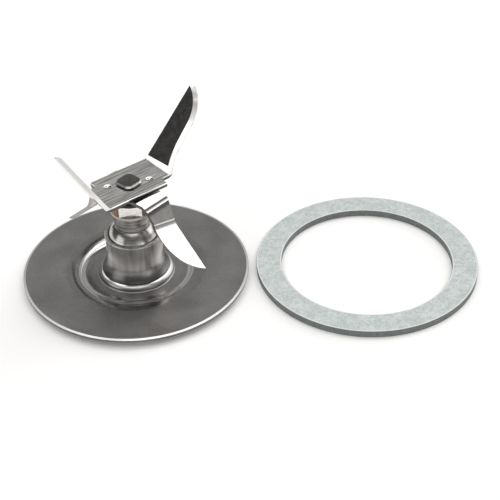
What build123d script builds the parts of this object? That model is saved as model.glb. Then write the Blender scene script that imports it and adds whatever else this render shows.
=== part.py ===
import os
from math import atan2, cos, degrees, radians, sin, sqrt, tan

from build123d import *

# Blender blade assembly, in millimetres. The origin is on the shaft's axis, on the surface that the unit
# stands on, with +Z up. The blades turn about +Z.

# Base plate: a pressed stainless disc
plate_radius = 35.0
plate_sheet = 1.0
rim_width = 1.2            # bright sloping edge of the flange
rim_fall = 0.3             # height that the edge slopes down
flange_inner_radius = 20.8  # the flat flange ends here and dips
step_width = 5.3           # from the flange down to the floor of the dished middle
recess_depth = 1.2
crown_share = 0.73         # convex part of the step, next to the flange
collar_radius = 10.3       # outside of the collar round the hole
collar_wall = 0.7
collar_height = 1.9        # above the recess floor
bead_gap = 0.15            # between the collar and the rounded bead outside it
bead_width = 1.15
bead_drop = 0.15           # the bead's inner edge lies this far below the collar's top
bead_fall = 1.05           # the bead rounds down by this height
bead_slope = 15.0          # degrees, at its inner edge
bead_hollow = 0.5          # between the bead and the recess floor
groove_depth = 0.6         # of the gap between the collar and the bead

# Bearing stem: the housing that stands in the plate's collar
stem_radius = 8.65
stem_wall = 0.7
stem_height = 16.3         # from the standing surface to the lip
stem_drop = 0.8            # the stem's end stands this far below the plate
foot_radius = 10.4
foot_edge = 0.35
foot_flare = 4.4           # height of the concave flare above the foot
lip_radius = 8.82
lip_height = 0.8

# Domed cap in the stem's mouth
cap_sheet = 0.7
cap_depth = 2.0            # from the lip down to the underside of the cap's brim
cap_side = 1.0             # upright part of the dome above the brim
cap_rise = 5.1             # from the underside of the brim to the top of the dome
cap_lean = 18.0            # degrees from upright, where the dome starts
groove_width = 0.3         # between the stem's wall and the dome

# Bronze bush with a wrench head
neck_radius = 5.45
neck_length = 2.1          # straight neck above the dome
taper_length = 3.1         # cone from the neck to the head
head_radius = 6.25
head_length = 4.2
flat_width = 10.5          # across the two wrench flats
flat_length = 3.4
flat_turn = 3.0            # degrees from facing straight to the front
bush_edge = 0.3            # chamfers on the bush

# Shaft
shaft_radius = 4.0
tenon_width = 5.6          # square tenon that drives the blades
peen_width = 6.7
peen_corner = 2.0
peen_height = 0.95
peen_dome = 0.45
socket_head_radius = 6.7
socket_head_length = 6.8
socket_width = 8.0         # across the flats of the square drive hole
socket_depth = 6.0
socket_lead = 0.4          # chamfer at the socket's mouth
socket_drop = 0.6          # the socket's mouth stands back from the stem's end

# Washers, spacer and seal
drive_washer_thickness = 0.9
fibre_washer_radius = 5.6
fibre_washer_thickness = 1.0
steel_washer_radius = 4.9
steel_washer_thickness = 1.3
spacer_radius = 4.8
spacer_thickness = 0.7
seal_radius = 4.8
seal_height = 1.4
seal_edge = 0.25

# Blades
blade_sheet = 1.2
edge_land = 0.3            # thickness left at the ground edge
bevel_run_out = 6.0        # the grinding runs on past the root and the tip
tenon_turn = -41.0         # degrees from +X to the lower blade's front wing

lower_width = 9.25
lower_fold_distance = 10.86  # from the axis to the first fold's corner
lower_folds = (69.0, 70.0)   # degrees down, front wing and back wing
lower_fold_radius = 1.0
leaf_fold_distances = (18.56, 22.0)  # along the flat blank, to the second fold's corner
leaf_folds = (25.0, 28.0)    # degrees back up
leaf_fold_skews = (12.5, 0.0)        # degrees from square across the wing
leaf_fold_radius = 5.0
neck_waist = 3.69            # cutting side, where the leaf meets the steep panel
neck_back = 4.35             # back edge, at the same place
lower_length = 36.4          # along the flat blank, to the tip
lower_tip_offset = 3.6       # the tip lies on the back edge's side
leaf_belly = 4.28            # deepest point of the curved cutting edge
leaf_belly_share = 0.226     # its place, as a share of the leaf's length
lower_bevel = 2.6            # ground from below
run_in_share = 0.43          # the grinding leaves the edge on the way from the belly to the root

upper_turn = 79.7            # degrees from the lower blade to the upper blade
upper_width = 15.1
upper_fold_distance = 11.6
upper_fold_angles = (50.5, 60.0)  # degrees up, right wing and left wing
upper_fold_skews = (0.0, -3.0)    # degrees from square across the blade, right wing and left wing
upper_fold_radius = 1.6
upper_wing_length = 27.1     # from the fold's corner to the tip
upper_tip_offset = 5.45
upper_root_offset = 4.4      # cutting side at the root
upper_edge_offset = 2.0      # cutting side along its straight stretch
upper_waist = 10.0           # the straight stretch starts here
upper_belly = 16.0           # and ends here
upper_bevel = 1.0            # ground from above
relief_setback = 3.0         # the hub's free corners end this far before the fold
relief_radius = 1.0
dimple_radius = 1.15
dimple_depth = 0.35
dimple_along = 5.9
dimple_across = 2.35

# Rubber sealing ring, lying beside the unit
ring_setback = 0.5           # the ring's edge from the plate's edge, when it lies on the flange
ring_width = 7.85
ring_thickness = 2.3
ring_edge = 0.15
ring_apart = 2.45            # between the plate's rim and the ring
ring_behind = 1.5            # the ring's centre lies this far behind the shaft's axis

# Clearances
seat_gap = 0.03              # pieces that seat in each other
shaft_clearance = 0.05       # the shaft in the bush
washer_clearance = 0.08      # washers round the shaft
end_play = 0.05              # between turning and standing faces

# Heights that follow from the sizes above
floor_under = stem_drop
floor_top = floor_under + plate_sheet
flange_top = floor_top + recess_depth
collar_top = floor_top + collar_height
stem_bore = stem_radius - stem_wall
cap_base = stem_height - cap_depth
cap_top = cap_base + cap_rise
head_base = cap_top + neck_length + taper_length
head_top = head_base + head_length
steel_washer_base = head_top + fibre_washer_thickness + end_play
lower_under = steel_washer_base + steel_washer_thickness
lower_top = lower_under + blade_sheet
upper_under = lower_top + spacer_thickness
upper_top = upper_under + blade_sheet
socket_head_top = socket_drop + socket_head_length
bush_base = socket_head_top + drive_washer_thickness + end_play
bush_bore = shaft_radius + shaft_clearance
washer_bore = shaft_radius + washer_clearance
ring_radius = plate_radius - ring_setback


def turned(*corners):
    """A solid of revolution about the shaft's axis, from (radius, height) corners."""
    return revolve(Plane.XZ * make_face(Polyline(*corners, close=True)), Axis.Z)


def washer(inner, outer, base, thickness):
    top = base + thickness
    return turned((inner, base), (outer, base), (outer, top), (inner, top))


def square_bar(width, corner, base, height, turn=0.0):
    bar = extrude(RectangleRounded(width, width, corner), height)
    return Pos(0, 0, base) * Rot(0, 0, turn) * bar


def make_base_plate():
    """One sheet: sloping rim, flat flange, soft step down to the recess, beaded collar round the hole."""
    recess_radius = flange_inner_radius - step_width
    dip = (flange_inner_radius - crown_share * step_width, flange_top - crown_share * recess_depth)
    rim_start = plate_radius - rim_width
    flange_under = flange_top - plate_sheet
    hole = collar_radius - collar_wall
    bead_inner = collar_radius + bead_gap
    bead_outer = bead_inner + bead_width
    bead_top = collar_top - bead_drop
    bead_base = bead_top - bead_fall
    bead_start = (cos(radians(bead_slope)), -sin(radians(bead_slope)))
    groove = collar_top - groove_depth
    floor_end = bead_outer + bead_hollow
    hollow_top = (bead_outer, floor_top + bead_hollow)
    with BuildLine() as top:
        flange = Line((rim_start, flange_top), (flange_inner_radius, flange_top))
        TangentArc(flange @ 1, dip, tangent=(-1, 0))
        floor = Line((recess_radius, floor_top), (floor_end, floor_top))
        TangentArc(floor @ 0, dip, tangent=(1, 0))
    with BuildLine() as collar:
        TangentArc((floor_end, floor_top), hollow_top, tangent=(-1, 0))
        Line(hollow_top, (bead_outer, bead_base))
        TangentArc((bead_inner, bead_top), (bead_outer, bead_base), tangent=bead_start)
        Polyline((bead_inner, bead_top), (bead_inner, groove), (collar_radius, groove))
        Polyline((collar_radius, groove), (collar_radius, collar_top), (hole, collar_top))
        Line((hole, collar_top), (hole, floor_under))
        Polyline((hole, floor_under), (floor_end, floor_under), (floor_end, floor_top))
    rim = Polyline(
        (rim_start, flange_top),
        (plate_radius, flange_top - rim_fall),
        (plate_radius, flange_under),
        (rim_start, flange_under),
        close=True,
    )
    sheet = make_face(offset(top.wire(), plate_sheet, side=Side.LEFT, closed=True).edges())
    return revolve(Plane.XZ * (sheet + make_face(rim) + make_face(collar.edges())), Axis.Z)


def make_bearing_stem():
    """Spigot in the plate's collar, flared foot on top of the collar, plain wall and a rolled lip."""
    spigot = collar_radius - collar_wall - seat_gap
    foot_top = collar_top + foot_edge
    lip_base = stem_height - lip_height
    with BuildLine() as outline:
        Polyline((stem_bore, 0), (spigot, 0), (spigot, collar_top))
        Polyline((spigot, collar_top), (foot_radius, collar_top), (foot_radius, foot_top))
        wall = Line((stem_radius, foot_top + foot_flare), (stem_radius, lip_base))
        TangentArc(wall @ 0, (foot_radius, foot_top), tangent=(0, -1))
        ThreePointArc(wall @ 1, (lip_radius, stem_height - lip_height / 2), (stem_radius, stem_height))
        Polyline((stem_radius, stem_height), (stem_bore, stem_height), (stem_bore, 0))
    return revolve(Plane.XZ * make_face(outline.edges()), Axis.Z)


def make_stem_cap():
    """Drawn cap: a brim on the bush's shoulder and a dome that closes on the neck."""
    brim = stem_bore - seat_gap
    side = stem_bore - groove_width
    mouth = neck_radius + seat_gap
    brim_top = cap_base + cap_sheet
    side_top = brim_top + cap_side
    lean = radians(cap_lean)
    upward = (-sin(lean), cos(lean))
    inward = Vector(-cos(lean), -sin(lean))
    foot = Vector(side, side_top)
    rise = Vector(mouth, cap_top) - foot
    dome_radius = rise.dot(rise) / (2 * rise.dot(inward))
    centre = foot + inward * dome_radius
    inner_foot = foot + inward * cap_sheet
    inner_top = centre.Y + sqrt((dome_radius - cap_sheet) ** 2 - (mouth - centre.X) ** 2)
    with BuildLine() as outline:
        TangentArc(foot, (mouth, cap_top), tangent=upward)
        TangentArc(inner_foot, (mouth, inner_top), tangent=upward)
        Line((mouth, inner_top), (mouth, cap_top))
        Polyline(foot, (side, brim_top), (brim, brim_top), (brim, cap_base))
        Polyline((brim, cap_base), (inner_foot.X, cap_base), inner_foot)
    return revolve(Plane.XZ * make_face(outline.edges()), Axis.Z)


def make_bearing_bushing():
    """Turned bush: body in the stem, neck, tapered head with two wrench flats, and a seat for the seal."""
    body = stem_bore - seat_gap
    taper_base = cap_top + neck_length
    seal_seat = seal_radius + seat_gap
    bush = turned(
        (bush_bore, bush_base),
        (body - bush_edge, bush_base),
        (body, bush_base + bush_edge),
        (body, cap_base),
        (neck_radius, cap_base),
        (neck_radius, taper_base),
        (head_radius, head_base),
        (head_radius, head_top - bush_edge),
        (head_radius - bush_edge, head_top),
        (seal_seat, head_top),
        (seal_seat, head_top - seal_height),
        (bush_bore, head_top - seal_height),
    )
    flat_middle = head_top - flat_length / 2
    flat_cut = Pos(0, flat_width, flat_middle) * Box(4 * head_radius, flat_width, flat_length)
    for side in (0, 180):
        bush -= Rot(0, 0, flat_turn + side) * flat_cut
    return bush


def make_shaft_seal():
    inner = bush_bore
    base = head_top - seal_height
    return turned(
        (inner, base),
        (seal_radius, base),
        (seal_radius, head_top - seal_edge),
        (seal_radius - seal_edge, head_top),
        (inner + seal_edge, head_top),
        (inner, head_top - seal_edge),
    )


def make_drive_shaft():
    """Socket head, journal, square tenon through the blades, and the peened head that holds them."""
    shaft = turned(
        (0, socket_drop),
        (socket_head_radius, socket_drop),
        (socket_head_radius, socket_head_top),
        (shaft_radius, socket_head_top),
        (shaft_radius, lower_under),
        (0, lower_under),
    )
    socket = Pos(0, 0, socket_drop + socket_depth / 2) * Box(socket_width, socket_width, socket_depth)
    mouth_width = socket_width + 2 * socket_lead
    mouth = loft([
        Plane.XY.offset(socket_drop) * Rectangle(mouth_width, mouth_width),
        Plane.XY.offset(socket_drop + socket_lead) * Rectangle(socket_width, socket_width),
    ])
    tenon = square_bar(tenon_width, seat_gap, lower_under, upper_top - lower_under, tenon_turn)
    peen = square_bar(peen_width, peen_corner, upper_top, peen_height, tenon_turn)
    peen = chamfer(peen.faces().sort_by(Axis.Z)[-1].edges(), peen_dome)
    return shaft - socket - mouth + tenon + peen


def fold_setback(angle, radius, up):
    """From the corner of a fold, on the sheet's top face, to where its curve starts."""
    face_radius = radius if up else radius + blade_sheet
    return face_radius * tan(radians(angle) / 2)


def fold_centre(radius, up):
    """Height of a fold's centre line above the sheet's top face."""
    return radius if up else -radius - blade_sheet


def folded(sheet, line, angle, radius, up):
    """A flat piece cut at a fold: what stays, the curved strip, and the flat piece beyond, not yet turned.
    The fold's corner lies on the top face, along the Y axis of the place given as line."""
    setback = fold_setback(angle, radius, up)
    start = line * Pos(-setback, 0, 0)
    end = line * Pos(setback, 0, 0)
    out = line.x_axis.direction
    stays = split(sheet, Plane(start.position, z_dir=out), Keep.BOTTOM)
    beyond = split(sheet, Plane(end.position, z_dir=out), Keep.TOP)
    hinge = (start * Pos(0, 0, fold_centre(radius, up))).y_axis
    around = Axis(hinge.position, -hinge.direction if up else hinge.direction)
    end_face = stays.faces().sort_by(Axis(start.position, out))[-1]
    return stays, revolve(end_face, around, angle), beyond


def past_fold(line, angle, radius, up):
    """Where the flat blank goes beyond a fold."""
    setback = fold_setback(angle, radius, up)
    centre = fold_centre(radius, up)
    turn = Pos(0, 0, centre) * Rot(0, -angle if up else angle, 0) * Pos(0, 0, -centre)
    return line * Pos(-setback, 0, 0) * turn * Pos(-setback, 0, 0) * line.inverse()


def ground(leaf, edge, bevel, from_top):
    """Grinds a bevel along a cutting edge: its first curve ends at the root, its last one at the tip."""
    root, tip = edge[0] @ 1, edge[-1] @ 1
    past_root = root + (edge[0] % 1) * bevel_run_out
    past_tip = tip + (edge[-1] % 1) * bevel_run_out
    behind = Polyline(tip, past_tip, (past_tip.X, upper_width), (past_root.X, upper_width), past_root, root)
    face = make_face([*edge, *behind.edges()])
    slope = degrees(atan2(bevel, blade_sheet - edge_land))
    land = extrude(face, -edge_land)
    kept = land + Pos(0, 0, -edge_land) * extrude(face, edge_land - blade_sheet, taper=slope)
    if from_top:
        kept = mirror(kept, Plane.XY.offset(-blade_sheet / 2))
    return leaf & kept


def lower_wing(steep_fold, leaf_fold_distance, leaf_fold, leaf_fold_skew):
    """Half of the lower blade: hub strip, steep panel and skewed leaf. The shaft's axis is at X = 0."""
    half = lower_width / 2
    first = Pos(lower_fold_distance, 0, 0)
    second = Pos(leaf_fold_distance, 0, 0) * Rot(0, 0, -leaf_fold_skew)
    setback = fold_setback(leaf_fold, leaf_fold_radius, True)
    neck_front = [(second * Pos(x, -neck_waist, 0)).position for x in (-setback, setback)]
    neck_rear = [(second * Pos(x, neck_back, 0)).position for x in (setback, -setback)]
    belly_distance = leaf_fold_distance + leaf_belly_share * (lower_length - leaf_fold_distance)
    belly = (belly_distance, -leaf_belly)
    tip = (lower_length, lower_tip_offset)
    waist = neck_front[-1]
    edge = [TangentArc(belly, waist, tangent=(-1, 0)), TangentArc(belly, tip, tangent=(1, 0))]
    run_in_drop = run_in_share * (belly_distance - waist.X)
    run_in = TangentArc(belly, (waist.X, -leaf_belly - run_in_drop), tangent=(-1, 0))
    hub_end = [(lower_fold_distance, half), (0, half), (0, -half), (lower_fold_distance, -half)]
    rest = Polyline(tip, *neck_rear, *hub_end, *neck_front)
    blank = extrude(make_face([*edge, *rest.edges()]), -blade_sheet)
    hub, first_strip, wing = folded(blank, first, steep_fold, lower_fold_radius, False)
    panel, second_strip, leaf = folded(wing, second, leaf_fold, leaf_fold_radius, True)
    leaf = ground(leaf, [run_in, edge[1]], lower_bevel, from_top=False)
    to_panel = past_fold(first, steep_fold, lower_fold_radius, False)
    to_leaf = to_panel * past_fold(second, leaf_fold, leaf_fold_radius, True)
    return hub + first_strip + to_panel * (panel + second_strip) + to_leaf * leaf


def make_lower_blade():
    folds = zip(lower_folds, leaf_fold_distances, leaf_folds, leaf_fold_skews)
    front, back = (lower_wing(*wing_folds) for wing_folds in folds)
    hole = square_bar(tenon_width + 2 * seat_gap, seat_gap, -2 * blade_sheet, 3 * blade_sheet)
    blade = front + Rot(0, 0, 180) * back - hole
    return Pos(0, 0, lower_top) * Rot(0, 0, tenon_turn) * blade


def upper_wing(fold_angle, fold_skew):
    """Half of the upper blade: half the hub, with one relieved corner, and a wing. The axis is at X = 0."""
    half = upper_width / 2
    relief = upper_fold_distance - relief_setback
    root = (upper_fold_distance, -upper_root_offset)
    waist = (upper_fold_distance + upper_waist, -upper_edge_offset)
    belly = (upper_fold_distance + upper_belly, -upper_edge_offset)
    tip = (upper_fold_distance + upper_wing_length, upper_tip_offset)
    edge = [
        TangentArc(waist, root, tangent=(-1, 0)),
        Line(waist, belly),
        TangentArc(belly, tip, tangent=(1, 0)),
    ]
    corner = FilletPolyline(root, (relief, -upper_root_offset), (relief, -half), radius=relief_radius)
    rest = Polyline((relief, -half), (0, -half), (0, half), (upper_fold_distance, half), tip)
    blank = extrude(make_face([*edge, *corner.edges(), *rest.edges()]), -blade_sheet)
    line = Pos(upper_fold_distance, 0, 0) * Rot(0, 0, fold_skew)
    hub, strip, wing = folded(blank, line, fold_angle, upper_fold_radius, True)
    wing = ground(wing, edge, upper_bevel, from_top=True)
    dimple = Pos(dimple_along, -dimple_across, 0) * Cylinder(dimple_radius, 2 * dimple_depth)
    return hub - dimple + strip + past_fold(line, fold_angle, upper_fold_radius, True) * wing


def make_upper_blade():
    right, left = (upper_wing(*fold) for fold in zip(upper_fold_angles, upper_fold_skews))
    hole = square_bar(tenon_width + 2 * seat_gap, seat_gap, -2 * blade_sheet, 3 * blade_sheet, -upper_turn)
    blade = right + Rot(0, 0, 180) * left - hole
    return Pos(0, 0, upper_top) * Rot(0, 0, tenon_turn + upper_turn) * blade


def make_sealing_ring():
    ring = washer(ring_radius - ring_width, ring_radius, 0, ring_thickness)
    return Pos(plate_radius + ring_apart + ring_radius, ring_behind, 0) * chamfer(ring.edges(), ring_edge)


pieces = {
    "base_plate": make_base_plate(),
    "bearing_stem": make_bearing_stem(),
    "stem_cap": make_stem_cap(),
    "bearing_bushing": make_bearing_bushing(),
    "shaft_seal": make_shaft_seal(),
    "fibre_washer": washer(washer_bore, fibre_washer_radius, head_top, fibre_washer_thickness),
    "sealing_ring": make_sealing_ring(),
    "drive_shaft": make_drive_shaft(),
    "drive_washer": washer(washer_bore, socket_head_radius, socket_head_top, drive_washer_thickness),
    "steel_washer": washer(washer_bore, steel_washer_radius, steel_washer_base, steel_washer_thickness),
    "lower_blade": make_lower_blade(),
    "blade_spacer": washer(washer_bore, spacer_radius, lower_top, spacer_thickness),
    "upper_blade": make_upper_blade(),
}
os.makedirs("parts", exist_ok=True)
for name, piece in pieces.items():
    export_step(piece, f"parts/{name}.step")
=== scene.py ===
import math

import bpy
from mathutils import Matrix, Vector


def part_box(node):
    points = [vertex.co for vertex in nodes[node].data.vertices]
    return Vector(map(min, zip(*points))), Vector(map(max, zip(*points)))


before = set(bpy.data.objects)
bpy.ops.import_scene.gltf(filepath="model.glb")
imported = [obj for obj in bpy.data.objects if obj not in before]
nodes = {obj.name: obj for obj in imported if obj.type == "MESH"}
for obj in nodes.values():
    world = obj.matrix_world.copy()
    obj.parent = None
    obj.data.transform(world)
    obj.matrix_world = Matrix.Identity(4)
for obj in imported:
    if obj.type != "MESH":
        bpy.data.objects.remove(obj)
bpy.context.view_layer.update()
scene = bpy.context.scene
scene.view_settings.view_transform = "Standard"

# Lengths are in metres and angles in degrees. Radii are from the shaft's axis and heights from the floor.
UP = (0.0, 0.0, 1.0)

# Base plate
PLATE_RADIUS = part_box("base_plate")[1].x
BEAD = (0.01046, 0.01140)             # radii of the bead outside the collar, given polish and painted lighter as a highlight
DISH_FLOOR = (0.0110, 0.0140)         # radii of the duller floor of the dish
STEP = (0.0161, 0.0178)               # radii of the step up to the flange, given polish and painted lighter as a highlight
CREASE = (0.01703, 0.01708)           # radii of a crease in that step
CREASE_DEPTH = 0.00006
FLANGE_START = 0.0215
RIM_WIDTH = 0.0012
RIM_START = PLATE_RADIUS - RIM_WIDTH  # the rim slopes down from here
RIM_FOLD = PLATE_RADIUS - 0.0007      # and is shaded as level up to here; past here it is painted light as a highlight
RIM_LIFT = 0.000125                   # relief that levels it
CUT_EDGE_RADIUS = PLATE_RADIUS - 0.000115
CUT_EDGE_TOP = 0.002675

# Stem and bush
# the stem is painted darker as shade below this height, fading in over the second length
STEM_SHADE_BELOW = 0.0080
STEM_SHADE_FADE = 0.0025
ALONG_AXIS = (700.0, 700.0, 30.0)     # stretch of marks that run up a round piece
ROUND_AXIS = (40.0, 40.0, 1600.0)     # stretch of marks that run round it
FLATS_ANGLE = 3.0                     # turn of the bush's wrench flats
FLATS_FROM = 0.0052                   # just nearer the axis than the flats are
FLATS_LENGTH = 0.0034
FLATS_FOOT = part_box("bearing_bushing")[1].z - FLATS_LENGTH

# Blades: the angles are from +X to the lower blade's front wing and to the upper blade's right wing
BLADE_SHEET = 0.0012
LOWER_BLADE_ANGLE = -41.0
UPPER_BLADE_ANGLE = 38.7
UPPER_BLADE_WIDTH = 0.0151
HUB_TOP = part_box("upper_blade")[0].z + BLADE_SHEET
HUB_RIM = (0.0069, 0.0075)            # distances from its middle line over which its long edges round off
PRESS_MARK = (0.0059, -0.00235)       # along and across the upper blade; the other mark is half a turn on
MARK_RADIUS = 0.00125
MARK_FLOOR = HUB_TOP - 0.000325       # just above the bottoms of the marks
MARK_DIP = 0.00005                    # the sheet dips this far round a mark
MARK_STEEPNESS = 1.3
ROOT_BEND = (0.0018, 0.00095)         # height of a wing's soft bend above the hub, from edge to edge
BEVEL_HIGHLIGHT_FADE = (0.0455, 0.0515)        # heights between which the painted highlight on the bevels turns from white to grey
BEVEL_HIGHLIGHT_SHARE = 1.6                    # how much of that painted colour shows, against how far the bevels lean
WING_HAZE_HEIGHT = 0.0405             # the wings' sides turn hazy above this
HUB_SIDE_TOP = -0.000325              # the hub's sides are painted dark as shade up to here, measured from its top
BACK_SIDE_SHADE = 0.6              # of the lower blade's painted shade, against its cutting side's
LOWER_HUB_END = (0.0055, 0.0080)      # distances from the axis over which the lower hub starts to bend down
PANEL_BEND = (0.0275, 0.0306)         # heights over which the lower blade's steep panels round off
FOLD_START = (0.0305, 0.0308)         # heights over which the fold to its hub starts

# Faces of the blades, known by their normals: the first six by the upward part
LEVEL_FACES = 0.94
ROOT_FACES = (0.75, 0.95)             # a wing's soft bend fades out between these
FOLD_FACES = (0.44, 0.48)
PANEL_FACES = (0.30, 0.40)
UPRIGHT_FACES = 0.265
WING_FACES = 0.35                     # what points further up than this is the upper side of a wing
BEVEL_NORTH = 0.63                    # the upper blade's bevels point to the back or front at least so far
BEVEL_EAST = (0.18, 0.25)             # and to the right or left at most so far
CUTTING_SIDE = (0.3, 0.6)             # across the lower blade

# How far the normals lean at the blades' soft folds and edges, against their own length
ROOT_LEAN = 0.8
BEVEL_LEAN = 0.6
HUB_RIM_LEAN = 0.35
HUB_END_LEAN = 0.45
PANEL_LEAN = (0.16, 0.45)
FOLD_LEAN = 0.6
FOLD_FACES_LEAN = -0.15

# Shaft
HIGHLIGHT_ABOVE = HUB_TOP + 0.00015
CHAMFER_FACES = (0.35, 0.85)          # upward part of their normals

# Sealing ring
RING_LOW, RING_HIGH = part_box("sealing_ring")
RING_CENTRE = (RING_LOW + RING_HIGH) / 2
RING_RADIUS = (RING_HIGH.y - RING_LOW.y) / 2
RING_WIDTH = 0.00785
EDGE_HIGHLIGHT_BAND = (0.00010, 0.00032)      # distances from the ring's edges between which they are painted lighter as a highlight
CUT_SIDE = 0.00007                    # what lies nearer to an edge is its cut side, painted darker as shade

# Soft panels: from and to azimuth (0 is at the right, 90 behind), from and to elevation, and brightness
ROOM_LEVEL = 0.07
PANEL_FADE = 3.0
PANELS = (
    ((-200.0, 200.0), (75.0, 100.0), 1.05),   # overhead
    ((-200.0, -3.0), (51.0, 72.0), 1.6),      # high, front half
    ((0.0, 200.0), (58.0, 72.0), 1.6),        # high, back half
    ((20.0, 160.0), (58.0, 72.0), 0.9),       # high, brighter middle of the back half
    ((10.0, 60.0), (14.0, 58.0), 1.9),        # right, towards the back
    ((10.0, 60.0), (-5.0, 10.0), 1.1),        # below that one
    ((-70.0, 6.0), (-5.0, 22.0), 0.28),       # low, right and front right
    ((64.0, 122.0), (-5.0, 44.0), 0.42),      # behind
    ((128.0, 158.0), (28.0, 48.0), 1.4),      # left, towards the back
    ((-168.0, -135.0), (-5.0, 26.0), 1.3),    # low, left, towards the front
    ((-125.0, -55.0), (-5.0, 26.0), 0.18),    # low, front
    ((-50.0, -36.0), (-5.0, 12.0), 1.6),      # low and narrow, front right
)

# Floor and camera
FLOOR_REACH = 15.0
FLOOR_DROP = 0.0001                   # keeps it clear of the faces that stand on it
FLOOR_GLOW = 0.11
CAMERA_PLACE = (0.03551, -0.30921, 0.24132)
CAMERA_TILT = 37.01                   # below level
CAMERA_ROLL = -1.37
CAMERA_LENS = 90.14                   # in millimetres, as the sensor's width is
CAMERA_SENSOR = 36.0


def rgb(r, g, b):
    return (r, g, b, 1.0)


def shade(colour, factor):
    """A colour made darker by a factor."""
    return rgb(*(factor * part for part in colour[:3]))


def level_direction(angle):
    """The level unit vector at an angle from +X."""
    turn = math.radians(angle)
    return (math.cos(turn), math.sin(turn), 0.0)


class Graph:
    """Adds and links shader nodes in one node tree."""

    def __init__(self, tree):
        self.tree = tree
        tree.nodes.clear()

    def add(self, kind, **settings):
        node = self.tree.nodes.new(kind)
        for key, value in settings.items():
            setattr(node, key, value)
        return node

    def link(self, source, target):
        self.tree.links.new(source, target)

    def feed(self, socket, value):
        """Links an output, or sets a plain value."""
        if isinstance(value, bpy.types.NodeSocket):
            self.link(value, socket)
        else:
            socket.default_value = value

    def coords(self, angle=0.0, stretch=(1.0, 1.0, 1.0)):
        """Object coordinates turned about Z, so that X runs along the given direction, and stretched."""
        turn = self.add("ShaderNodeMapping", vector_type="TEXTURE")
        turn.inputs["Rotation"].default_value = (0.0, 0.0, math.radians(angle))
        self.link(self.add("ShaderNodeTexCoord").outputs["Object"], turn.inputs["Vector"])
        scale = self.add("ShaderNodeMapping")
        scale.inputs["Scale"].default_value = stretch
        self.link(turn.outputs["Vector"], scale.inputs["Vector"])
        return scale.outputs["Vector"]

    def normal(self):
        """The surface's normal in the piece's own space."""
        return self.add("ShaderNodeTexCoord").outputs["Normal"]

    def split(self, vector):
        """A vector's X, Y and Z."""
        parts = self.add("ShaderNodeSeparateXYZ")
        self.link(vector, parts.inputs["Vector"])
        return parts.outputs["X"], parts.outputs["Y"], parts.outputs["Z"]

    def height(self):
        """Height above the floor."""
        return self.split(self.coords())[2]

    def radius(self, centre=(0.0, 0.0), angle=0.0):
        """Distance from an upright axis, whose place is given in coordinates turned by the angle."""
        node = self.add("ShaderNodeVectorMath", operation="DISTANCE")
        self.link(self.coords(angle, (1.0, 1.0, 0.0)), node.inputs[0])
        node.inputs[1].default_value = (centre[0], centre[1], 0.0)
        return node.outputs["Value"]

    def noise(self, vector, scale=1.0, detail=3.0, rough=0.55):
        node = self.add("ShaderNodeTexNoise")
        self.link(vector, node.inputs["Vector"])
        node.inputs["Scale"].default_value = scale
        node.inputs["Detail"].default_value = detail
        node.inputs["Roughness"].default_value = rough
        return node.outputs["Fac"]

    def math(self, operation, a, b=0.0):
        node = self.add("ShaderNodeMath", operation=operation)
        self.feed(node.inputs[0], a)
        self.feed(node.inputs[1], b)
        return node.outputs[0]

    def times(self, first, *others):
        """The product of its values."""
        product = first
        for other in others:
            product = self.math("MULTIPLY", product, other)
        return product

    def weigh(self, a, weight_a, b, weight_b):
        """The sum of two values, each times its weight."""
        return self.math("ADD", self.times(a, weight_a), self.times(b, weight_b))

    def absolute(self, value):
        """A value without its sign."""
        return self.math("ABSOLUTE", value)

    def ramp(self, value, low, high, out_low=0.0, out_high=1.0):
        """Goes from one result to the other while the value goes from low to high."""
        node = self.add("ShaderNodeMapRange", clamp=True)
        self.feed(node.inputs["Value"], value)
        for name, number in zip(("From Min", "From Max", "To Min", "To Max"), (low, high, out_low, out_high)):
            node.inputs[name].default_value = number
        return node.outputs["Result"]

    def past(self, value, place, soft):
        """One past a place and nothing before it, changing over the soft width."""
        return self.ramp(value, place - soft / 2, place + soft / 2)

    def before(self, value, place, soft):
        """One before a place and nothing past it, changing over the soft width."""
        return self.ramp(value, place - soft / 2, place + soft / 2, 1.0, 0.0)

    def window(self, value, low, high, soft):
        """One between low and high, fading to nothing over the soft width on either side."""
        return self.times(self.ramp(value, low - soft, low), self.ramp(value, high, high + soft, 1.0, 0.0))

    def mix(self, amount, a, b):
        """A colour between two, which is the first at nothing and the second at one."""
        node = self.add("ShaderNodeMix", data_type="RGBA")
        self.feed(node.inputs["Factor"], amount)
        self.feed(node.inputs["A"], a)
        self.feed(node.inputs["B"], b)
        return node.outputs["Result"]

    def tones(self, value, low, high, a, b):
        """A colour that goes from one to the other while the value goes from low to high."""
        return self.mix(self.ramp(value, low, high), a, b)

    def part_along(self, vector, direction):
        """How far a vector points in a direction."""
        node = self.add("ShaderNodeVectorMath", operation="DOT_PRODUCT")
        self.link(vector, node.inputs[0])
        node.inputs[1].default_value = direction
        return node.outputs["Value"]

    def lean(self, normal, direction, amount):
        """The normal leaned along a direction of the piece's own space, as a softer bend would lean it."""
        shift = self.add("ShaderNodeVectorMath", operation="SCALE")
        shift.inputs[0].default_value = direction
        self.link(amount, shift.inputs["Scale"])
        total = self.add("ShaderNodeVectorMath", operation="ADD")
        self.link(normal, total.inputs[0])
        self.link(shift.outputs["Vector"], total.inputs[1])
        return total.outputs["Vector"]

    def in_world(self, normal):
        """A normal of the piece's own space, turned as the piece is."""
        turn = self.add("ShaderNodeVectorTransform", vector_type="NORMAL")
        turn.convert_from = "OBJECT"
        turn.convert_to = "WORLD"
        self.link(normal, turn.inputs["Vector"])
        return turn.outputs["Vector"]

    def bump(self, height, distance=1.0, normal=None):
        """The normal of a relief, whose height times the distance is in metres."""
        node = self.add("ShaderNodeBump")
        node.inputs["Distance"].default_value = distance
        self.link(height, node.inputs["Height"])
        if normal is not None:
            self.link(normal, node.inputs["Normal"])
        return node.outputs["Normal"]

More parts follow.
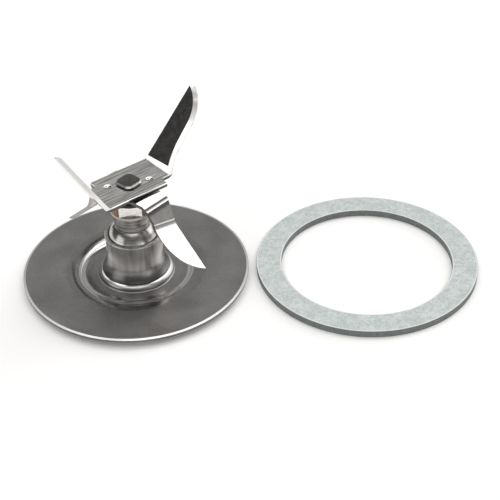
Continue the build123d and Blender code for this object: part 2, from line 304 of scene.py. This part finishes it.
    def surface(self, colour, roughness, normal, metallic=1.0):
        shader = self.add("ShaderNodeBsdfPrincipled")
        self.link(colour, shader.inputs["Base Color"])
        self.link(roughness, shader.inputs["Roughness"])
        self.link(normal, shader.inputs["Normal"])
        shader.inputs["Metallic"].default_value = metallic
        out = self.add("ShaderNodeOutputMaterial")
        self.link(shader.outputs["BSDF"], out.inputs["Surface"])


def new_material(name):
    material = bpy.data.materials.new(name)
    material.use_nodes = True
    return material, Graph(material.node_tree)


def sheet_steel():
    """Satin rolled sheet with a bead and step given polish and painted lighter as highlights, a rim slope
    painted light as a highlight and a cut edge painted dark as shade.
    """
    material, g = new_material("satin sheet steel")
    clouds = g.noise(g.coords(), scale=110.0, detail=4.0)
    grain = g.noise(g.coords(), scale=1700.0)
    tone = g.weigh(clouds, 0.55, grain, 0.45)
    spread = g.ramp(tone, 0.36, 0.64)
    satin = g.mix(spread, rgb(0.24, 0.234, 0.231), rgb(0.33, 0.322, 0.318))
    # painted highlight: the rim's outer slope is painted light
    rim_highlight = g.mix(spread, rgb(0.60, 0.595, 0.59), rgb(0.68, 0.675, 0.67))
    # partly painted highlight: the bead and step have polish, and are also painted lighter where their
    # highlights fall
    polish_and_highlight = g.mix(spread, rgb(0.52, 0.515, 0.51), rgb(0.60, 0.595, 0.59))
    # painted shade: the cut edge under the rim is painted dark
    cut_edge_shade = g.mix(spread, rgb(0.13, 0.126, 0.123), rgb(0.19, 0.185, 0.18))

    radius = g.radius()
    bead = g.window(radius, *BEAD, soft=0.0001)
    step = g.window(radius, *STEP, soft=0.0003)
    below_rim = g.before(g.height(), CUT_EDGE_TOP, soft=0.00003)
    cut_edge = g.times(below_rim, g.past(radius, CUT_EDGE_RADIUS, soft=0.00007))
    colour = g.mix(g.past(radius, RIM_FOLD, soft=0.0001), satin, rim_highlight)
    colour = g.mix(g.math("MAXIMUM", bead, step), colour, polish_and_highlight)
    colour = g.mix(cut_edge, colour, cut_edge_shade)

    flange = g.past(radius, FLANGE_START, soft=0.0020)
    dish_floor = g.window(radius, *DISH_FLOOR, soft=0.0005)
    satin_rough = g.times(g.math("MAXIMUM", flange, dish_floor), 0.19)
    rough = g.math("ADD", g.ramp(tone, 0.3, 0.7, 0.12, 0.18), satin_rough)

    crease = g.window(radius, *CREASE, soft=0.00012)
    relief = g.weigh(grain, 0.000006, crease, -CREASE_DEPTH)
    relief = g.math("ADD", relief, g.ramp(radius, RIM_START, RIM_FOLD, 0.0, RIM_LIFT))
    g.surface(colour, rough, g.bump(relief))
    return material


def drawn_steel(name, base, low_rough, high_rough, stretch, shade_below=0.0):
    """Drawn steel with faint marks along one direction, and painted shade below a height."""
    material, g = new_material(name)
    marks = g.noise(g.coords(stretch=stretch))
    clouds = g.noise(g.coords(), scale=180.0)
    tone = g.weigh(marks, 0.6, clouds, 0.4)
    colour = g.tones(tone, 0.38, 0.62, shade(base, 0.60), base)
    # painted shade: the stem darkens towards its foot, where it meets the plate
    foot = g.ramp(g.height(), shade_below - STEM_SHADE_FADE, shade_below, 1.0, 0.0)
    colour = g.mix(foot, colour, shade(base, 0.30))
    rough = g.ramp(tone, 0.3, 0.7, low_rough, high_rough)
    g.surface(colour, rough, g.bump(marks, 0.000005))
    return material


def turned_bronze():
    """Bronze with turning marks: a greyer neck below the head, and wrench flats painted near-white as a
    reflection.
    """
    material, g = new_material("turned bronze")
    rings = g.noise(g.coords(stretch=(60.0, 60.0, 2600.0)))
    pores = g.noise(g.coords(), scale=1500.0, detail=2.0)
    bronze = g.tones(pores, 0.35, 0.65, rgb(0.17, 0.095, 0.062), rgb(0.34, 0.21, 0.145))
    neck = g.tones(rings, 0.35, 0.65, rgb(0.27, 0.258, 0.25), rgb(0.60, 0.58, 0.565))
    # painted reflection: the wrench flats are painted near-white
    flat_reflection = g.tones(pores, 0.35, 0.65, rgb(0.84, 0.80, 0.78), rgb(0.93, 0.90, 0.88))
    from_axis = g.absolute(g.split(g.coords(FLATS_ANGLE))[1])
    head = g.mix(g.past(from_axis, FLATS_FROM, soft=0.00005), bronze, flat_reflection)
    colour = g.mix(g.past(g.height(), FLATS_FOOT, soft=0.0001), neck, head)
    g.surface(colour, g.ramp(rings, 0.3, 0.7, 0.18, 0.32), g.bump(rings, 0.00001))
    return material


def on_hub(g, up):
    """One on a blade's level hub, by how far its normal points up."""
    return g.past(up, LEVEL_FACES, soft=0.08)


def on_side(g, up):
    """One on a blade's upright sides, by how far their normals point up or down."""
    return g.before(g.absolute(up), UPRIGHT_FACES, soft=0.05)


def brush_marks(g, angle, base, contrast):
    """Streaks along a blade's level hub and clouds on its wings: colour, roughness and relief."""
    fine = g.noise(g.coords(angle, (100.0, 3800.0, 100.0)), detail=2.0, rough=0.6)
    broad = g.noise(g.coords(angle, (20.0, 420.0, 20.0)))
    clouds = g.noise(g.coords(), scale=500.0)
    tone = g.weigh(fine, 0.92, broad, 0.08)
    streaks = g.tones(tone, 0.40, 0.56, shade(base, 1.0 - contrast), base)
    dim = shade(base, 1.0 - 0.80 * contrast)
    pale = shade(base, 1.0 - 0.38 * contrast)
    calm = g.tones(clouds, 0.38, 0.62, dim, pale)
    colour = g.mix(on_hub(g, g.split(g.normal())[2]), calm, streaks)
    return colour, g.ramp(tone, 0.3, 0.7, 0.09, 0.17), g.times(fine, 0.000010)


def shaded_edge(g):
    """Scratched steel of a cut sheet edge, painted dark as shade."""
    scratches = g.noise(g.coords(), scale=1800.0)
    return g.tones(scratches, 0.35, 0.65, rgb(0.07, 0.068, 0.066), rgb(0.13, 0.127, 0.124))


def press_marks(g, height):
    """Relief of the two press marks in the upper blade's hub, with steep walls and conical bottoms."""
    upper_half = g.past(height, HUB_TOP - BLADE_SHEET / 2, soft=0.0001)
    bottom = g.before(height, MARK_FLOOR, soft=0.00005)
    wall = g.times(g.math("SUBTRACT", HUB_TOP - MARK_DIP, height), MARK_STEEPNESS)
    reliefs = []
    for half_turn in (1, -1):
        centre = (half_turn * PRESS_MARK[0], half_turn * PRESS_MARK[1])
        radius = g.radius(centre, UPPER_BLADE_ANGLE)
        inside = g.times(g.before(radius, MARK_RADIUS, soft=0.0001), upper_half)
        reliefs.append(g.times(inside, g.math("ADD", wall, g.times(bottom, radius))))
    return g.math("ADD", *reliefs)


def upper_sides(g, height, above_hub):
    """Colour of the upper blade's sides: painted dark as shade on the hub, light at the wings' roots and hazy
    further up.
    """
    haze = g.mix(g.noise(g.coords(), scale=900.0, detail=2.0), rgb(0.56, 0.55, 0.54), rgb(0.70, 0.69, 0.68))
    wing = g.mix(g.past(height, WING_HAZE_HEIGHT, soft=0.004), rgb(0.84, 0.825, 0.81), haze)
    # painted shade: the hub's sides are painted dark
    return g.mix(g.past(above_hub, HUB_SIDE_TOP, soft=0.00015), shaded_edge(g), wing)


def upper_blade_steel(base):
    """Brushed blade: soft folds at the wings' roots and bevelled edges, painted white as a highlight low down
    and grey higher up, and two sunk press marks.
    """
    material, g = new_material("brushed upper blade")
    colour, rough, relief = brush_marks(g, UPPER_BLADE_ANGLE, base, 0.55)
    height = g.height()
    above_hub = g.math("SUBTRACT", height, HUB_TOP)
    along, across, _ = g.split(g.coords(UPPER_BLADE_ANGLE))
    normal = g.normal()
    east, north, up = g.split(normal)
    on_wing = g.past(up, WING_FACES, soft=0.10)

    wing_side = g.times(g.math("SIGN", along), across)
    bend_top = g.ramp(wing_side, -UPPER_BLADE_WIDTH / 2, UPPER_BLADE_WIDTH / 2, *ROOT_BEND)
    root = g.before(g.math("SUBTRACT", above_hub, bend_top), 0.0, soft=0.0002)
    root = g.times(root, on_wing, g.ramp(up, *ROOT_FACES, ROOT_LEAN, 0.0))
    bevel = g.ramp(g.absolute(east), *BEVEL_EAST, BEVEL_LEAN, 0.0)
    bevel = g.times(bevel, on_wing, g.past(g.absolute(north), BEVEL_NORTH, soft=0.06))
    upward = g.math("MAXIMUM", root, bevel)
    # painted highlight: the root bends and bevels are painted white low down and grey higher up
    bevel_highlight = g.tones(height, *BEVEL_HIGHLIGHT_FADE, rgb(0.90, 0.885, 0.87), rgb(0.33, 0.325, 0.32))
    colour = g.mix(g.times(upward, BEVEL_HIGHLIGHT_SHARE), colour, bevel_highlight)
    colour = g.mix(on_side(g, up), colour, upper_sides(g, height, above_hub))

    bent = g.lean(normal, UP, upward)
    rim = g.ramp(g.absolute(across), *HUB_RIM, 0.0, HUB_RIM_LEAN)
    rim = g.times(rim, on_hub(g, up), g.math("SIGN", across))
    bent = g.lean(bent, level_direction(UPPER_BLADE_ANGLE + 90.0), rim)
    relief = g.math("ADD", relief, press_marks(g, height))
    g.surface(colour, rough, g.bump(relief, normal=g.in_world(bent)))
    return material


def lower_blade_steel(base):
    """Brushed blade with sides painted dark as shade, and soft folds from its hub to its steep panels and
    leaves.
    """
    material, g = new_material("brushed lower blade")
    colour, rough, relief = brush_marks(g, LOWER_BLADE_ANGLE, base, 0.2)
    along, _, height = g.split(g.coords(LOWER_BLADE_ANGLE))
    wing = g.math("SIGN", along)
    normal = g.normal()
    up = g.split(normal)[2]

    sideways = g.times(g.part_along(normal, level_direction(LOWER_BLADE_ANGLE - 90.0)), wing)
    # painted shade: the lower blade's sides are painted dark, less so on the back
    shaded_sides = g.times(on_side(g, up), g.ramp(sideways, *CUTTING_SIDE, BACK_SIDE_SHADE, 1.0))
    colour = g.mix(shaded_sides, colour, shaded_edge(g))

    hub_end = g.ramp(g.absolute(along), *LOWER_HUB_END, 0.0, HUB_END_LEAN)
    bent = g.lean(normal, level_direction(LOWER_BLADE_ANGLE), g.times(hub_end, on_hub(g, up), wing))
    panel = g.ramp(height, *PANEL_BEND, *PANEL_LEAN)
    panel = g.math("ADD", panel, g.ramp(height, *FOLD_START, 0.0, FOLD_LEAN))
    panel = g.times(panel, g.window(up, *PANEL_FACES, soft=0.03))
    fold = g.times(g.window(up, *FOLD_FACES, soft=0.02), FOLD_FACES_LEAN)
    bent = g.lean(bent, UP, g.math("ADD", panel, fold))
    g.surface(colour, rough, g.bump(relief, normal=g.in_world(bent)))
    return material


def plain_steel():
    """Dull turned steel with small pits, and a painted highlight on the chamfer of the shaft's end."""
    material, g = new_material("plain shaft steel")
    base = rgb(0.14, 0.136, 0.132)
    pits = g.noise(g.coords(), scale=1400.0)
    broad = g.noise(g.coords(), scale=320.0, detail=2.0)
    colour = g.tones(broad, 0.35, 0.65, shade(base, 0.7), base)
    chamfer = g.window(g.split(g.normal())[2], *CHAMFER_FACES, soft=0.1)
    # painted highlight: the chamfer at the shaft's end is painted light
    chamfer_highlight = g.times(chamfer, g.past(g.height(), HIGHLIGHT_ABOVE, soft=0.0002))
    colour = g.mix(chamfer_highlight, colour, rgb(0.60, 0.59, 0.58))
    g.surface(colour, g.ramp(pits, 0.3, 0.7, 0.28, 0.42), g.bump(pits, 0.00002))
    return material


def black_fibre(name):
    """Black matt fibre or rubber with a fine flattened grain."""
    material, g = new_material(name)
    fibres = g.noise(g.coords(stretch=(1.0, 1.0, 3.0)), scale=900.0, detail=4.0)
    colour = g.tones(fibres, 0.35, 0.65, rgb(0.018, 0.017, 0.016), rgb(0.05, 0.048, 0.046))
    g.surface(colour, g.ramp(fibres, 0.3, 0.7, 0.55, 0.75), g.bump(fibres, 0.00002), metallic=0.0)
    return material


def ring_rubber():
    """Pale grey rubber: mottled speckle, darker grains and soft clouds, edges painted lighter as a highlight
    and cut sides painted darker as shade.
    """
    material, g = new_material("pale rubber")
    speckle = g.noise(g.coords(), scale=1100.0, detail=4.0, rough=0.75)
    clouds = g.noise(g.coords(), scale=260.0, detail=4.0, rough=0.65)
    grains = g.ramp(g.noise(g.coords(), scale=3000.0, detail=1.0), 0.64, 0.72)
    colour = g.tones(speckle, 0.34, 0.66, rgb(0.42, 0.475, 0.465), rgb(0.69, 0.735, 0.725))
    colour = g.mix(g.ramp(clouds, 0.48, 0.66, 0.0, 0.5), colour, rgb(0.45, 0.51, 0.50))
    colour = g.mix(g.ramp(clouds, 0.34, 0.46, 0.45, 0.0), colour, rgb(0.70, 0.73, 0.74))
    colour = g.mix(g.times(grains, 0.5), colour, rgb(0.34, 0.38, 0.38))

    half_width = RING_WIDTH / 2
    from_middle = g.absolute(g.math("SUBTRACT", g.radius(RING_CENTRE), RING_RADIUS - half_width))
    from_edge = g.math("SUBTRACT", half_width, from_middle)
    # painted highlight: light bands along the ring's edges
    edge_highlight = g.times(g.window(from_edge, *EDGE_HIGHLIGHT_BAND, soft=0.0002), 0.8)
    colour = g.mix(edge_highlight, colour, rgb(0.82, 0.84, 0.835))
    # painted shade: the ring's cut sides are painted darker
    side = g.tones(speckle, 0.3, 0.7, rgb(0.13, 0.145, 0.143), rgb(0.25, 0.27, 0.265))
    colour = g.mix(g.before(from_edge, CUT_SIDE, soft=0.00006), colour, side)
    g.surface(colour, g.ramp(speckle, 0.3, 0.7, 0.62, 0.8), g.bump(speckle, 0.00004), metallic=0.0)
    return material


def set_material(material, *names):
    for name in names:
        mesh = nodes[name].data
        mesh.materials.clear()
        mesh.materials.append(material)


def dress_pieces():
    """Gives every piece its material."""
    blade_tone = rgb(0.80, 0.785, 0.77)
    drawn_tone = rgb(0.64, 0.628, 0.615)
    stem = drawn_steel("drawn stem steel", drawn_tone, 0.27, 0.36, ALONG_AXIS, STEM_SHADE_BELOW)
    cap = drawn_steel("drawn cap steel", drawn_tone, 0.19, 0.27, ROUND_AXIS)
    set_material(sheet_steel(), "base_plate")
    set_material(stem, "bearing_stem")
    set_material(cap, "stem_cap")
    set_material(turned_bronze(), "bearing_bushing")
    set_material(upper_blade_steel(blade_tone), "upper_blade")
    set_material(lower_blade_steel(blade_tone), "lower_blade")
    set_material(plain_steel(), "drive_shaft", "steel_washer", "blade_spacer")
    set_material(black_fibre("black fibre"), "fibre_washer", "drive_washer")
    set_material(black_fibre("black seal rubber"), "shaft_seal")
    set_material(ring_rubber(), "sealing_ring")


def make_floor():
    """Pale floor that takes the object's shadow, and looks white where it is lit, in reflections too."""
    mesh = bpy.data.meshes.new("floor")
    reach = FLOOR_REACH
    corners = [(-reach, -reach, 0), (reach, -reach, 0), (reach, reach, 0), (-reach, reach, 0)]
    mesh.from_pydata(corners, [], [(0, 1, 2, 3)])
    floor = bpy.data.objects.new("floor", mesh)
    floor.location.z = -FLOOR_DROP
    scene.collection.objects.link(floor)
    material, g = new_material("pale floor")
    path = g.add("ShaderNodeLightPath")
    seen = g.math("MAXIMUM", path.outputs["Is Camera Ray"], path.outputs["Is Glossy Ray"])
    seen = g.math("MAXIMUM", seen, path.outputs["Is Transmission Ray"])
    diffuse = g.add("ShaderNodeBsdfDiffuse")
    diffuse.inputs["Color"].default_value = rgb(0.93, 0.93, 0.93)
    glow = g.add("ShaderNodeEmission")
    g.link(g.times(seen, FLOOR_GLOW), glow.inputs["Strength"])
    both = g.add("ShaderNodeAddShader")
    g.link(diffuse.outputs["BSDF"], both.inputs[0])
    g.link(glow.outputs["Emission"], both.inputs[1])
    out = g.add("ShaderNodeOutputMaterial")
    g.link(both.outputs["Shader"], out.inputs["Surface"])
    mesh.materials.append(material)


def make_world():
    """A dim studio with soft panels overhead and all round."""
    world = bpy.data.worlds.new("studio")
    scene.world = world
    world.use_nodes = True
    g = Graph(world.node_tree)
    east, north, up = g.split(g.add("ShaderNodeTexCoord").outputs["Generated"])
    azimuth = g.math("ARCTAN2", north, east)
    elevation = g.math("ARCSINE", up)
    level = ROOM_LEVEL
    for turns, heights, brightness in PANELS:
        across = g.window(azimuth, *map(math.radians, turns), soft=math.radians(PANEL_FADE))
        upward = g.window(elevation, *map(math.radians, heights), soft=math.radians(PANEL_FADE))
        level = g.math("ADD", g.times(across, upward, brightness), level)
    background = g.add("ShaderNodeBackground")
    g.link(level, background.inputs["Strength"])
    background.inputs["Color"].default_value = rgb(1.0, 0.99, 0.975)
    out = g.add("ShaderNodeOutputWorld")
    g.link(background.outputs["Background"], out.inputs["Surface"])


def make_camera():
    """The photograph's view point, found from the plate's and the ring's ellipses."""
    tilt = math.radians(CAMERA_TILT)
    roll = math.radians(CAMERA_ROLL)
    forward = Vector((0.0, math.cos(tilt), -math.sin(tilt)))
    level = Vector((1.0, 0.0, 0.0))
    above = level.cross(forward)
    right = math.cos(roll) * level + math.sin(roll) * above
    up = math.cos(roll) * above - math.sin(roll) * level
    data = bpy.data.cameras.new("camera")
    data.sensor_width = CAMERA_SENSOR
    data.lens = CAMERA_LENS
    camera = bpy.data.objects.new("camera", data)
    turn = Matrix((right, up, -forward)).transposed().to_4x4()
    camera.matrix_world = Matrix.Translation(CAMERA_PLACE) @ turn
    scene.collection.objects.link(camera)
    scene.camera = camera


dress_pieces()
make_floor()
make_world()
make_camera()
